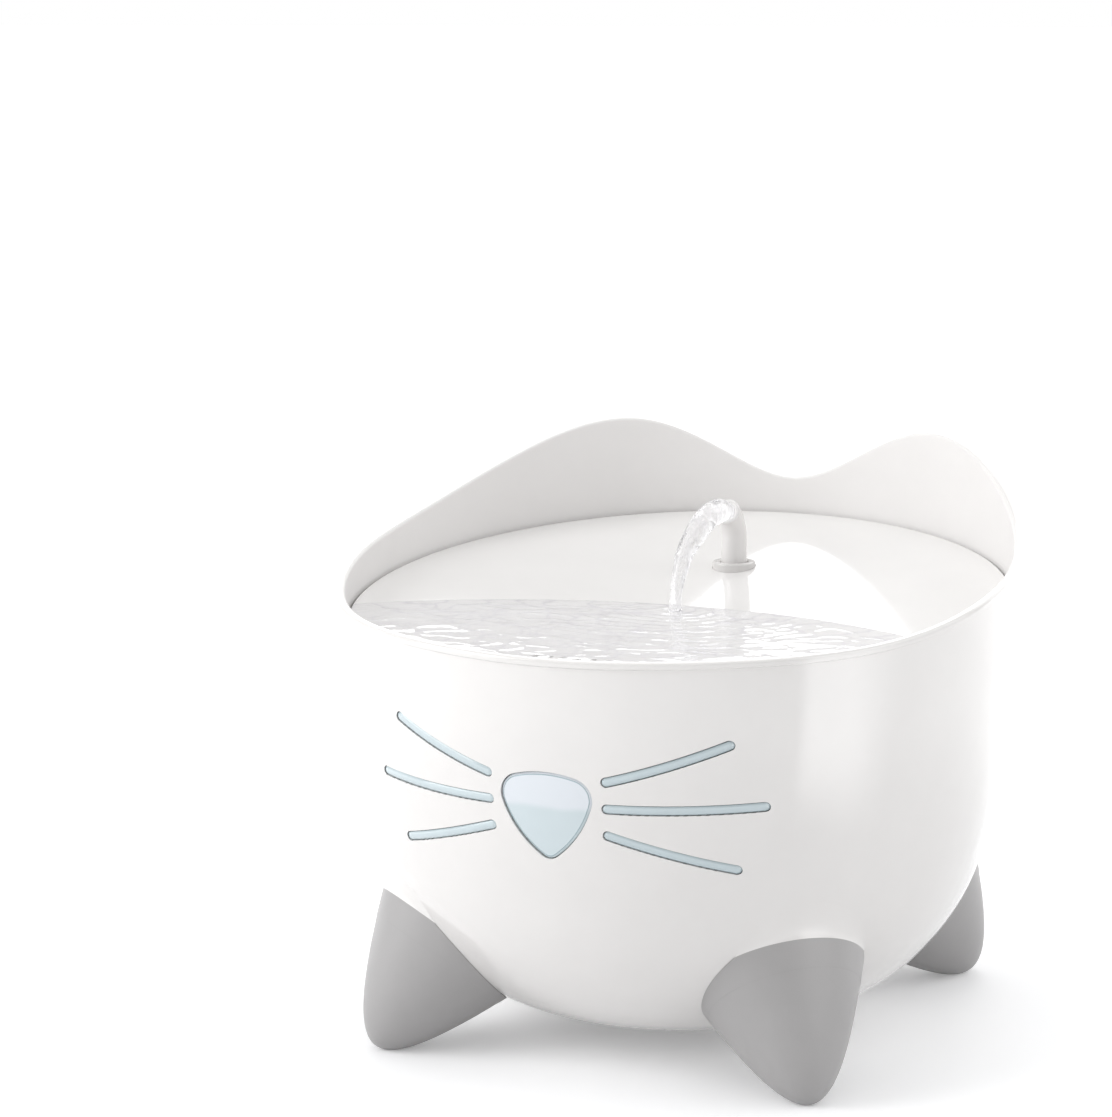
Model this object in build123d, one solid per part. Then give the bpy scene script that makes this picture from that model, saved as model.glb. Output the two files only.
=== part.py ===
"""Pet water fountain: a footed bowl with a lift-off drinking tray, a spout, a filter cup and a pump.

Frame: origin on the bowl's axis at the table top, +Z up, the nose window towards -Y.
Lengths are millimetres and angles degrees.
"""
import os
from math import atan, cos, radians, sin, sqrt, tan

from build123d import *

# ---- bowl ----
rim_radius = 117.0              # outside of the wall above the side curve
wall = 2.5
underside_height = 7.0          # flat underside above the table
floor_radius = 32.7             # of the flat underside
belly_height = 60.0             # where the bottom curve meets the side curve
side_top_height = 140.0         # the wall is upright above this
rim_height = 162.0              # at the sides, before the dips and the ears
# rise of the rim over rim_height at angles from the front, the same on both sides
rim_rises = [(0, -14.0), (30, -13.0), (60, -10.0), (85, -1.6), (105, 6.8),
             (125, 21.5), (140, 32.6), (152, 34.5), (165, 24.8), (180, 13.5)]
bead_depth = 2.6
bead_overhang = 1.0

# ---- feet ----
foot_inset_x = 38.6             # the tips' distance inside the rim's square
foot_inset_front = 37.3
foot_inset_rear = 24.0
foot_front_turn = 43.0          # the leg's direction from the front, towards each side
foot_rear_turn = 142.0
foot_lean = 50.5                # the leg's axis above the table
foot_tip_height = 1.4           # height of the rounded tip's apex
foot_length = 44.8              # from the apex to the boot's mouth
foot_nose = 7.1                 # radius of curvature at the apex
foot_flare = 0.11
stub_length = 26.0              # how far the leg's root reaches past the boot's mouth
boot_wall = 5.0                 # along the leg's axis
spigot_wall = 6.0
boot_gap = 0.1
boot_play = 0.5                 # between boot and spigot, along the leg's axis

# ---- face windows ----
nose_half_width = 15.0
nose_top = 110.9
nose_shoulder = 107.0           # height of the two upper corners before rounding
nose_tip = 81.2
nose_corner = 7.0
nose_tip_corner = 3.8
nose_corner_trim = 1.7          # what the rounding takes off each upper corner
nose_bulge = 2.5                # of the two lower sides
window_gap = 0.3
nose_recess = 0.3               # its face below the bowl's surface
nose_flange = 2.6
flange_thickness = 2.0
seal_thickness = 0.8
whisker_width = 2.8
whisker_recess = 0.2
whisker_inset = 1.0
# inner end, middle and outer end of each whisker, seen from the front
whiskers = {
    "upper": ((20.4, 109.0), (39.5, 114.8), (57.4, 121.6)),
    "middle": ((20.3, 100.1), (43.5, 100.2), (66.3, 101.0)),
    "lower": ((20.1, 91.1), (38.3, 85.4), (57.4, 79.9)),
}

# ---- drinking tray ----
tray_gap = 1.1                  # between its edge and the wall
tray_height = 148.2             # its edge plane on the bowl's axis
tray_tilt = 7.0                 # the front edge is the low one
tray_dish = 5.0
tray_thickness = 2.2
seat_gap = 0.3                  # between bodies that part
rib_count = 8
rib_width = 4.0
rib_reach = 4.0
rib_depth = 9.0

# ---- spout and riser ----
riser_radius = 5.0
riser_wall = 2.2
riser_overlap = 9.0             # of the riser's top inside the socket
slide_gap = 0.08                # between the riser and the tray's socket
socket_depth = 21.0
socket_wall = 2.1               # round the spout ring's seat
spout_y = 54.6
spout_play = 0.48               # between the spout's tube and the socket
spout_wall = 1.8
spout_straight = 8.5            # above the tray
spout_bend_radius = 14.0
spout_bend = 62.0
spout_plug = 9.0                # below the tray's surface
ring_wall = 2.62
ring_rise = 1.9
ring_sink = 2.0
ring_round = 0.8
o_ring_section = 0.8
o_ring_gap = 0.05
o_ring_inset = 3.0              # from the end of its tube

# ---- filter cup ----
filter_setback = 13.6           # from the bowl's front wall
filter_radius = 42.9
filter_wall = 1.6
filter_drop = 21.2              # from the tray's height down to the cup's brim
filter_height = 20.0
filter_floor = 1.8
skirt_wall = 1.8
skirt_overlap = 9.0
pad_thickness = 6.0
carbon_thickness = 7.0
lid_thickness = 2.4
grille_slots = 11
grille_pitch = 6.0
grille_slot = 3.0
grille_border = 6.0
tab_length = 24.0
tab_thickness = 2.0
tab_depth = 7.0
drain_slot_width = 2.0
drain_slot_pitch = 5.0
drain_slot_count = 7
drain_slot_length = 10.0
drain_slot_lead = 32.5          # in front of the filter cup's axis

# ---- pump, its volute centred under the spout ----
volute_radius = 19.0
volute_wall = 2.6
volute_length = 19.0
pump_length = 58.0
pump_width = 44.0
pump_height = 43.5
pump_wall = 2.0
pump_round = 5.0
shaft_rise = 26.5               # above the pump's base
well_radius = 8.6
well_wall = 1.4
well_depth = 34.0
cover_thickness = 2.0
cover_holes = 8
cover_hole_radius = 2.4
cover_hole_circle = 10.5
strainer_depth = 8.0
strainer_wall = 1.6
strainer_slots = 9
strainer_pitch = 3.4
strainer_slot = 1.8
outlet_wall = 1.7
outlet_shoulder = 2.0           # of the riser's seat above the volute
outlet_overlap = 10.0           # of the riser's foot inside the outlet
shaft_radius = 1.25
shaft_gap = 0.06
hub_radius = 3.4
running_gap = 1.0
magnet_gap = 0.9                # between the magnet and the well
magnet_margin = 8.0             # the magnet is this much shorter than the well
blade_margin = 3.9              # between the blade tips and the volute
blade_height = 8.0
blade_thickness = 1.2
blade_count = 6
bush_radius = 3.0
bush_length = 3.0
bush_rim = 1.6
core_setback = 8.0              # behind the well's closed end
core_thickness = 16.0
core_rise = 5.5                 # above the pump's base
core_height = 32.0
yoke_height = 7.0
leg_gap = 18.0
coil_wall = 2.4
coil_length = 17.0
cup_height = 5.0                # of the suction cups, under the pump
cup_radius = 7.0
cup_lip = 0.8
cup_neck = 3.0
cup_stem = 2.0
cup_spacing = 27.0
cup_setback = 5.0               # of the front cups behind the pump's front
led_radius = 2.5
led_length = 5.0
led_rise = 21.5                 # above the pump's base
lens_radius = 5.0
lens_proud = 1.0
board_size = 18.0
board_thickness = 1.6
gland_radius = 4.5
gland_taper = 1.2
gland_height = 12.0
gland_plug = 1.0                # its foot is this much slimmer
gland_x = 13.0
gland_setback = 10.0            # behind the pump's front

# ---- cable grommet in the rear wall ----
grommet_height = 141.0
grommet_radius = 5.0
grommet_flange = 1.8
grommet_lip = 0.9
cable_radius = 2.4

# ---- lengths that only have to be longer than the model ----
far = 400.0

# ---- worked out from the values above ----
inside_radius = rim_radius - wall
floor_z = underside_height + wall
open_top = rim_height + rim_radius / 2
tray_radius = inside_radius - tray_gap
socket_bore = riser_radius + slide_gap
riser_bore = riser_radius - riser_wall
spout_radius = socket_bore - spout_play
spout_bore = spout_radius - spout_wall
ring_radius = socket_bore + ring_wall
filter_top = tray_height - filter_drop
filter_y = filter_setback + filter_radius - inside_radius
foot_tip_x = rim_radius - foot_inset_x
foot_front_y = foot_inset_front - rim_radius
foot_rear_y = rim_radius - foot_inset_rear
pump_base = floor_z + cup_height
pump_top = pump_base + pump_height
shaft_height = pump_base + shaft_rise
pump_rear_y = spout_y - volute_length / 2
pump_front_y = pump_rear_y - pump_length
volute_rear = pump_rear_y + volute_length


os.makedirs("parts", exist_ok=True)


def save(shape, node):
    export_step(shape, f"parts/{node}.step")


def ring(outer, inner, bottom, top):
    """Upright tube between two heights."""
    height = top - bottom
    return Pos(0, 0, bottom) * (bottom_cylinder(outer, height) - bottom_cylinder(inner, height))


def bottom_cylinder(radius, height):
    return Cylinder(radius, height, align=(Align.CENTER, Align.CENTER, Align.MIN))


def along_y(radius, front, rear):
    """Cylinder about the pump's shaft line, from one y to another."""
    turned = Rot(90, 0, 0) * Cylinder(radius, rear - front)
    return Pos(0, (front + rear) / 2, shaft_height) * turned


def block(low, high):
    size = [b - a for a, b in zip(low, high)]
    return Pos(*[(a + b) / 2 for a, b in zip(low, high)]) * Box(*size)


# ---- the bowl's surface of revolution ----
# Two arcs, tangent to the floor, to each other at the belly's height and to the upright wall.
# half_lean is the tangent of half the wall's lean where they meet.
side_rise = side_top_height - belly_height
belly_rise = belly_height - underside_height
spread = rim_radius - floor_radius
total = side_rise + belly_rise + spread
half_lean = (total - sqrt(total ** 2 - 4 * side_rise * (spread - belly_rise))) / (2 * side_rise)
junction_angle = 2 * atan(half_lean)
side_curve_radius = side_rise / sin(junction_angle)
belly_radius = belly_rise / (1 - sin(junction_angle))
belly_centre = (floor_radius, underside_height + belly_radius)


def bowl_solid(inset, top=open_top):
    """Everything inside the bowl's outer surface moved inwards by inset."""
    cx, cz = belly_centre
    small = belly_radius - inset
    large = side_curve_radius - inset
    side_centre = rim_radius - side_curve_radius

    def on_belly(angle):
        return (cx + small * cos(angle), 0, cz - small * sin(angle))

    def on_side(angle):
        return (side_centre + large * cos(angle), 0, side_top_height - large * sin(angle))

    floor_z = underside_height + inset
    upright = rim_radius - inset
    outline = [
        Line((0, 0, floor_z), (cx, 0, floor_z)),
        ThreePointArc((cx, 0, floor_z), on_belly(radians(45)), on_belly(junction_angle)),
        ThreePointArc(on_belly(junction_angle), on_side(junction_angle / 2), on_side(0)),
        Line(on_side(0), (upright, 0, top)),
        Line((upright, 0, top), (0, 0, top)),
        Line((0, 0, top), (0, 0, floor_z)),
    ]
    return revolve(make_face(outline), axis=Axis.Z)


def above_rim(drop=0.0):
    """The space above the rim line, lowered by drop, as a thick ring."""
    rises = rim_rises + [(360 - angle, rise) for angle, rise in reversed(rim_rises[1:-1])]

    def rim_line(radius):
        points = []
        for angle, rise in rises:
            turn = radians(angle)
            points.append((radius * sin(turn), -radius * cos(turn), rim_height + rise - drop))
        return Spline(*points, periodic=True)

    margin = 4 * wall
    surface = Face.make_surface_from_curves(rim_line(rim_radius - margin), rim_line(rim_radius + margin))
    return extrude(surface, amount=open_top, dir=(0, 0, 1))


# ---- legs: the same curved cone for boots, roots and spigots ----
def leg_cone(shift, start, end):
    """Solid of the leg's curve moved up its axis by shift, from start to end along the axis."""
    def radius_at(along):
        reach = max(along - shift, 0)
        return sqrt(2 * foot_nose * reach + foot_flare * reach ** 2)

    first = max(start, shift)
    steps = [first + (end - first) * (k / 8) ** 1.6 for k in range(9)]
    points = [(radius_at(t), 0, t) for t in steps]
    outline = []
    if first == shift:
        outline.append(Spline(*points, tangents=[(1, 0, 0), slope_at(end - shift)]))
    else:
        outline.append(Spline(*points, tangents=[slope_at(first - shift), slope_at(end - shift)]))
        outline.append(Line((0, 0, first), points[0]))
    outline.append(Line(points[-1], (0, 0, end)))
    outline.append(Line((0, 0, end), (0, 0, first)))
    return revolve(make_face(outline), axis=Axis.Z)


def slope_at(reach):
    radius = sqrt(2 * foot_nose * reach + foot_flare * reach ** 2)
    return ((foot_nose + foot_flare * reach) / radius, 0, 1)


feet = {
    "foot_front_right": (foot_tip_x, foot_front_y, foot_front_turn),
    "foot_front_left": (-foot_tip_x, foot_front_y, -foot_front_turn),
    "foot_rear_right": (foot_tip_x, foot_rear_y, foot_rear_turn),
    "foot_rear_left": (-foot_tip_x, foot_rear_y, -foot_rear_turn),
}


def at_foot(foot, cone):
    """Stand a leg shape on its tip, leaning in towards the bowl."""
    x, y, turn = foot
    return Pos(x, y, foot_tip_height) * Rot(0, 0, turn) * Rot(-(90 - foot_lean), 0, 0) * cone


# ---- face windows, drawn from the front ----
def from_front(sketch):
    """Prism of a front-view sketch that reaches through the bowl's front wall."""
    return extrude(Plane.XZ.offset(rim_radius / 2) * sketch, amount=rim_radius)


def nose_sketch(grow=0.0):
    corner = nose_half_width + nose_corner_trim
    middle = (nose_shoulder + nose_tip) / 2
    side_bulge = (corner / 2 + nose_bulge, middle - nose_bulge)
    edges = [
        ThreePointArc((-corner, nose_shoulder), (0, nose_top), (corner, nose_shoulder)),
        ThreePointArc((corner, nose_shoulder), side_bulge, (0, nose_tip)),
        ThreePointArc((0, nose_tip), (-side_bulge[0], side_bulge[1]), (-corner, nose_shoulder)),
    ]
    face = make_face(edges)
    face = fillet(face.vertices().sort_by(Axis.Y)[1:], nose_corner)
    face = fillet(face.vertices().sort_by(Axis.Y)[:1], nose_tip_corner)
    return offset(face, amount=grow) if grow else face


def whisker_sketch(points, grow=0.0):
    return SlotArc(ThreePointArc(*points), whisker_width + 2 * grow)


def mirrored(points):
    return tuple((-x, z) for x, z in points)


def skin(outer_inset, inner_inset):
    return bowl_solid(outer_inset) - bowl_solid(inner_inset)


flange_inset = wall + seal_thickness
flange_back = flange_inset + flange_thickness
nose_window = from_front(nose_sketch()) & skin(nose_recess, flange_back)
nose_window += from_front(nose_sketch(nose_flange)) & skin(flange_inset, flange_back)
nose_seal = from_front(nose_sketch(nose_flange)) - from_front(nose_sketch(window_gap))
nose_seal &= skin(wall, flange_inset)

whisker_lines = {}
for level, line in whiskers.items():
    whisker_lines[f"whisker_{level}_right"] = line
    whisker_lines[f"whisker_{level}_left"] = mirrored(line)

# ---- bowl with its legs' roots, tray ribs and window holes ----
bowl = bowl_solid(0)
for foot in feet.values():
    bowl += at_foot(foot, leg_cone(0, foot_length, foot_length + stub_length))
    bowl += at_foot(foot, leg_cone(boot_wall, boot_wall, foot_length + 1))
hollow = bowl_solid(wall)
for foot in feet.values():
    shift = boot_wall + spigot_wall
    hollow += at_foot(foot, leg_cone(shift, shift, foot_length + stub_length))
bowl -= hollow

bead = ring(rim_radius + bead_overhang, rim_radius - wall / 2, side_top_height, open_top - wall)
bead = (bead & above_rim(bead_depth)) - above_rim()
bowl = bowl - above_rim() + bead

tilt = Pos(0, 0, tray_height) * Rot(tray_tilt, 0, 0)
rib_top = -tray_thickness - seat_gap
hung = (Align.CENTER, Align.CENTER, Align.MAX)
rib_slab = tilt * Pos(0, 0, rib_top) * Box(far, far, rib_depth, align=hung)
for k in range(rib_count):
    rib = Pos(0, -inside_radius, 0) * Box(rib_width, 2 * rib_reach, 2 * far)
    bowl += (Rot(0, 0, (k + 0.5) * 360 / rib_count) * rib) & rib_slab & bowl_solid(wall / 2)

bowl -= from_front(nose_sketch(window_gap))
for line in whisker_lines.values():
    bowl -= from_front(whisker_sketch(line, window_gap))


def rear_bar(radius):
    bar = Rot(90, 0, 0) * Cylinder(radius, rim_radius / 2)
    return Pos(0, rim_radius, grommet_height) * bar


bowl -= rear_bar(grommet_radius + boot_gap)
save(bowl, "reservoir")

for end in ("front", "rear"):
    foot = feet[f"foot_{end}_right"]
    boot = at_foot(foot, leg_cone(0, 0, foot_length))
    boot -= at_foot(foot, leg_cone(boot_wall - boot_play, boot_wall - boot_play, foot_length + 2))
    boot -= bowl_solid(-boot_gap)
    boot &= Box(far, far, far, align=(Align.CENTER, Align.CENTER, Align.MIN))
    save(boot, f"foot_{end}_right")
    save(mirror(boot, about=Plane.YZ), f"foot_{end}_left")

save(nose_window, "nose_window")
save(nose_seal, "nose_seal")
for node, line in whisker_lines.items():
    lens = from_front(whisker_sketch(line)) & skin(whisker_recess, wall + whisker_inset)
    lens += from_front(whisker_sketch(line, whisker_inset)) & skin(wall + boot_gap, wall + whisker_inset)
    save(lens, node)

grommet = rear_bar(grommet_radius) & skin(-grommet_lip, wall + grommet_flange)
grommet += rear_bar(grommet_radius + grommet_flange) & skin(-grommet_lip, 0)
grommet += rear_bar(grommet_radius + grommet_flange) & skin(wall, wall + grommet_flange)
grommet -= rear_bar(cable_radius)
save(grommet, "cable_grommet")

# ---- drinking tray ----
dish_radius = (tray_radius ** 2 + tray_dish ** 2) / (2 * tray_dish)


def dish_height(radius):
    """Height of the dish's surface in the tray's own tilted frame."""
    return dish_radius - tray_dish - sqrt(dish_radius ** 2 - radius ** 2)


def dish_layer(top_drop, bottom_drop):
    """Layer of the dish between two depths below its surface."""
    reach = tray_radius / cos(radians(tray_tilt)) + wall

    def arc(drop):
        middle = reach / 2
        return ThreePointArc((0, 0, -tray_dish - drop), (middle, 0, dish_height(middle) - drop),
                             (reach, 0, dish_height(reach) - drop))

    edge = dish_height(reach)
    sides = [
        Line((reach, 0, edge - top_drop), (reach, 0, edge - bottom_drop)),
        Line((0, 0, -tray_dish - bottom_drop), (0, 0, -tray_dish - top_drop)),
    ]
    return tilt * revolve(make_face([arc(top_drop), arc(bottom_drop)] + sides), axis=Axis.Z)


slope = tan(radians(tray_tilt))
spout_reach = spout_y / cos(radians(tray_tilt))
spout_seat = tray_height + slope * spout_y + dish_height(spout_reach) / cos(radians(tray_tilt))
socket_bottom = spout_seat - socket_depth
socket_radius = ring_radius + socket_wall
skirt_inner = filter_radius + seat_gap
under_tray = dish_layer(tray_thickness / 2, tray_height / 2)

tray = dish_layer(0, tray_thickness) & bottom_cylinder(tray_radius, far)
skirt = ring(skirt_inner + skirt_wall, skirt_inner, filter_top - skirt_overlap, tray_height)
tray += (Pos(0, filter_y, 0) * skirt) & under_tray
tray += (Pos(0, spout_y, socket_bottom) * bottom_cylinder(socket_radius, far)) & under_tray
tray -= Pos(0, spout_y, 0) * bottom_cylinder(socket_bore, far)
tray -= Pos(0, spout_y, spout_seat - ring_sink) * bottom_cylinder(ring_radius + boot_gap, far)
for k in range(drain_slot_count):
    x = (k - (drain_slot_count - 1) / 2) * drain_slot_pitch
    slot = SlotOverall(drain_slot_length, drain_slot_width, rotation=90)
    tray -= Pos(x, filter_y - drain_slot_lead, 0) * extrude(slot, amount=far)
save(tray, "drinking_tray")

# ---- spout ----
ring_top = spout_seat + ring_rise
spout_ring = ring(ring_radius, socket_bore, spout_seat - ring_sink, ring_top)
spout_ring = fillet(spout_ring.edges().group_by(Axis.Z)[-1], ring_round)
save(Pos(0, spout_y, 0) * spout_ring, "spout_ring")

bend = radians(spout_bend)
bend_start = (0, spout_y, spout_seat + spout_straight)
bend_end = (0, spout_y - spout_bend_radius * (1 - cos(bend)),
            bend_start[2] + spout_bend_radius * sin(bend))
spout_bottom = (0, spout_y, spout_seat - spout_plug)
spout_path = Wire([Line(spout_bottom, bend_start), TangentArc(bend_start, bend_end, tangent=(0, 0, 1))])
spout_plane = Plane(origin=spout_bottom, z_dir=(0, 0, 1))
spout = sweep(spout_plane * (Circle(spout_radius) - Circle(spout_bore)), path=spout_path)


seal_radius = socket_bore - o_ring_gap
o_ring = Torus(seal_radius - o_ring_section, o_ring_section)


def o_groove(tube_radius):
    """Groove for the O-ring in a tube of the given outside radius."""
    half = o_ring_section + boot_gap
    return ring(tube_radius + 1, seal_radius - 2 * half, -half, half)


spout_seal = Pos(0, spout_y, spout_bottom[2] + o_ring_inset)
spout -= spout_seal * o_groove(spout_radius)
save(spout, "spout")
save(spout_seal * o_ring, "spout_o_ring")

# ---- riser ----
outlet_bore = riser_radius + boot_gap / 2
riser_seat = shaft_height + volute_radius + outlet_shoulder
riser_top = socket_bottom + riser_overlap
riser_seal = Pos(0, spout_y, riser_top - o_ring_inset)
riser = Pos(0, spout_y, 0) * ring(riser_radius, riser_bore, riser_seat, riser_top)
riser -= riser_seal * o_groove(riser_radius)
save(riser, "riser_tube")
save(riser_seal * o_ring, "riser_o_ring")

# ---- filter cup ----
cup_bottom = filter_top - filter_height
cup_floor = cup_bottom + filter_floor
bed_radius = filter_radius - filter_wall - boot_gap


def grille(radius, bottom, thickness):
    """Round plate with parallel slots across it."""
    plate = Pos(0, 0, bottom) * bottom_cylinder(radius, thickness)
    for k in range(grille_slots):
        x = (k - (grille_slots - 1) / 2) * grille_pitch
        half = sqrt((radius - grille_border) ** 2 - x ** 2)
        low = (x - grille_slot / 2, -half, bottom)
        plate -= block(low, (x + grille_slot / 2, half, bottom + thickness))
    return plate


at_filter = Pos(0, filter_y, 0)
filter_cup = ring(filter_radius, filter_radius - filter_wall, cup_bottom, filter_top)
filter_cup += grille(filter_radius - filter_wall / 2, cup_bottom, filter_floor)
filter_cup += block((-tab_length / 2, -tab_thickness / 2, cup_bottom - tab_depth),
                    (tab_length / 2, tab_thickness / 2, cup_floor))
save(at_filter * filter_cup, "filter_cup")
pad_top = cup_floor + pad_thickness
carbon_top = pad_top + carbon_thickness
save(at_filter * Pos(0, 0, cup_floor) * bottom_cylinder(bed_radius, pad_thickness), "filter_pad")
save(at_filter * Pos(0, 0, pad_top) * bottom_cylinder(bed_radius, carbon_thickness), "carbon_bed")
save(at_filter * grille(bed_radius, carbon_top, lid_thickness), "filter_lid")

# ---- pump housing on its suction cups ----
half_width = pump_width / 2
inner_half = half_width - pump_wall
inner_base = pump_base + pump_wall
inner_top = pump_top - pump_wall
housing = block((-half_width, pump_front_y, pump_base), (half_width, pump_rear_y, pump_top))
housing = fillet(housing.edges().filter_by(Axis.Y), pump_round)
housing -= block((-inner_half, pump_front_y, inner_base), (inner_half, pump_rear_y - pump_wall, inner_top))
well_end = pump_rear_y - well_depth
well_floor = well_end + well_wall
well_outside = well_radius + well_wall
housing += along_y(well_outside, well_end, pump_rear_y)
housing -= along_y(well_radius, well_floor, pump_rear_y)

gland_y = pump_front_y + gland_setback
gland_foot = gland_radius - gland_plug
housing -= Pos(gland_x, gland_y, inner_top) * bottom_cylinder(gland_foot + boot_gap, far)
cup_front_y = pump_front_y + cup_setback
cup_places = [(x, y) for x in (-cup_spacing / 2, cup_spacing / 2)
              for y in (cup_front_y, cup_front_y + cup_spacing)]
for x, y in cup_places:
    housing -= Pos(x, y, floor_z) * bottom_cylinder(cup_stem + boot_gap, cup_height + pump_wall)
save(housing, "pump_housing")

cup_outline = Polyline((0, inner_base), (cup_stem, inner_base), (cup_stem, pump_base),
                       (cup_neck, pump_base), (cup_neck, floor_z + cup_height / 2),
                       (cup_radius, floor_z + cup_lip), (cup_radius, floor_z),
                       (cup_radius - cup_lip, floor_z), (0, floor_z + 2 * cup_lip), close=True)
suction_cup = revolve(Plane.XZ * make_face(cup_outline), axis=Axis.Z)
save(Compound([Pos(x, y, 0) * suction_cup for x, y in cup_places]), "suction_cups")

gland_outline = Polyline((0, inner_top), (gland_foot, inner_top), (gland_foot, pump_top),
                         (gland_radius, pump_top), (gland_radius - gland_taper, pump_top + gland_height),
                         (cable_radius, pump_top + gland_height), (cable_radius, pump_top),
                         (0, pump_top), close=True)
gland = revolve(Plane.XZ * make_face(gland_outline), axis=Axis.Z)
save(Pos(gland_x, gland_y, 0) * gland, "pump_cable_gland")

# ---- front plate with the light ----
led_height = pump_base + led_rise
at_led = Pos(0, 0, led_height - shaft_height)
plate_rear = pump_front_y + pump_wall
pump_plate = block((-inner_half + boot_gap, pump_front_y, inner_base + boot_gap),
                   (inner_half - boot_gap, plate_rear, inner_top - boot_gap))
pump_plate -= at_led * along_y(lens_radius + boot_gap, pump_front_y, plate_rear)
save(pump_plate, "pump_front_plate")
lens = at_led * along_y(lens_radius, pump_front_y - lens_proud, plate_rear)
save(fillet(lens.edges().group_by(Axis.Y)[0], lens_proud - boot_gap), "led_lens")
led_rear = plate_rear + led_length
save(at_led * along_y(led_radius, plate_rear, led_rear), "led")
half_board = board_size / 2
save(block((-half_board, led_rear, led_height - half_board),
           (half_board, led_rear + board_thickness, led_height + half_board)), "led_board")

# ---- stator ----
core_half = inner_half - boot_gap
core_front = well_end + core_setback
core_rear = core_front + core_thickness
core_base = pump_base + core_rise
core_top = core_base + core_height
yoke_top = core_base + yoke_height
core = block((-core_half, core_front, core_base), (core_half, core_rear, core_top))
core -= block((-leg_gap / 2, core_front, yoke_top), (leg_gap / 2, core_rear, core_top))
core -= along_y(well_outside + boot_gap, core_front, core_rear)
save(core, "stator_core")
coil = block((-coil_length / 2, core_front - coil_wall, core_base - coil_wall),
             (coil_length / 2, core_rear + coil_wall, yoke_top + coil_wall))
coil -= block((-core_half, core_front - boot_gap, core_base - boot_gap),
              (core_half, core_rear + boot_gap, yoke_top + boot_gap))
save(coil, "stator_coil")

# ---- volute, cover and strainer ----
chamber_radius = volute_radius - volute_wall
chamber_front = pump_rear_y + volute_wall
volute = along_y(volute_radius, pump_rear_y, volute_rear)
outlet_height = riser_seat + outlet_overlap - shaft_height
volute += Pos(0, spout_y, shaft_height) * bottom_cylinder(outlet_bore + outlet_wall, outlet_height)
volute -= along_y(chamber_radius, chamber_front, volute_rear)
volute -= along_y(well_radius, pump_rear_y, volute_rear)
volute -= Pos(0, spout_y, shaft_height) * bottom_cylinder(riser_bore, far)
volute -= Pos(0, spout_y, riser_seat) * bottom_cylinder(outlet_bore, far)
save(volute, "pump_volute")

cover_front = volute_rear - cover_thickness
cover_radius = chamber_radius - boot_gap
bush_front = cover_front - bush_length
cover = along_y(cover_radius, cover_front, volute_rear)
cover += along_y(bush_radius + bush_rim, bush_front, cover_front)
cover -= along_y(bush_radius + boot_gap / 2, bush_front, cover_front)
for k in range(cover_holes):
    turn = radians(k * 360 / cover_holes)
    place = Pos(cover_hole_circle * cos(turn), 0, cover_hole_circle * sin(turn))
    cover -= place * along_y(cover_hole_radius, cover_front, volute_rear)
save(cover, "pump_cover")

strainer_rear = volute_rear + strainer_depth
strainer_face = strainer_rear - strainer_wall
strainer_inside = cover_radius - strainer_wall
strainer = along_y(cover_radius, volute_rear, strainer_rear)
strainer -= along_y(strainer_inside, volute_rear, strainer_face)
for k in range(strainer_slots):
    x = (k - (strainer_slots - 1) / 2) * strainer_pitch
    half = sqrt((strainer_inside - strainer_wall / 2) ** 2 - x ** 2)
    low = (x - strainer_slot / 2, strainer_face, shaft_height - half)
    strainer -= block(low, (x + strainer_slot / 2, strainer_rear, shaft_height + half))
save(strainer, "intake_strainer")

# ---- impeller on its fixed shaft ----
bush_rear = well_floor + bush_length
hub_front = bush_rear + running_gap
hub_rear = bush_front - running_gap
disc_front = chamber_front + running_gap
blade_front = disc_front + blade_thickness
blade_rear = disc_front + blade_height
blade_radius = chamber_radius - blade_margin
impeller = along_y(hub_radius, hub_front, hub_rear) + along_y(blade_radius, disc_front, blade_front)
blade = block((-blade_thickness / 2, disc_front, shaft_height + hub_radius / 2),
              (blade_thickness / 2, blade_rear, shaft_height + blade_radius))
for k in range(blade_count):
    turn = Rot(0, k * 360 / blade_count, 0)
    impeller += Pos(0, 0, shaft_height) * turn * Pos(0, 0, -shaft_height) * blade
impeller -= along_y(shaft_radius + shaft_gap, hub_front, hub_rear)
save(impeller, "impeller")
magnet_front = hub_front + running_gap
magnet_rear = magnet_front + well_depth - magnet_margin
magnet = along_y(well_radius - magnet_gap, magnet_front, magnet_rear)
magnet -= along_y(hub_radius + boot_gap / 2, magnet_front, magnet_rear)
save(magnet, "impeller_magnet")
save(along_y(shaft_radius, well_floor + boot_gap, cover_front - boot_gap), "impeller_shaft")
bushes = {"shaft_bush_inner": (well_floor, bush_rear), "shaft_bush_outer": (bush_front, cover_front)}
for node, (front, rear) in bushes.items():
    bush = along_y(bush_radius, front, rear) - along_y(shaft_radius + boot_gap / 4, front, rear)
    save(bush, node)
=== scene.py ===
import math

import bmesh
import bpy
import numpy as np
from mathutils import Matrix, Vector, noise


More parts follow.
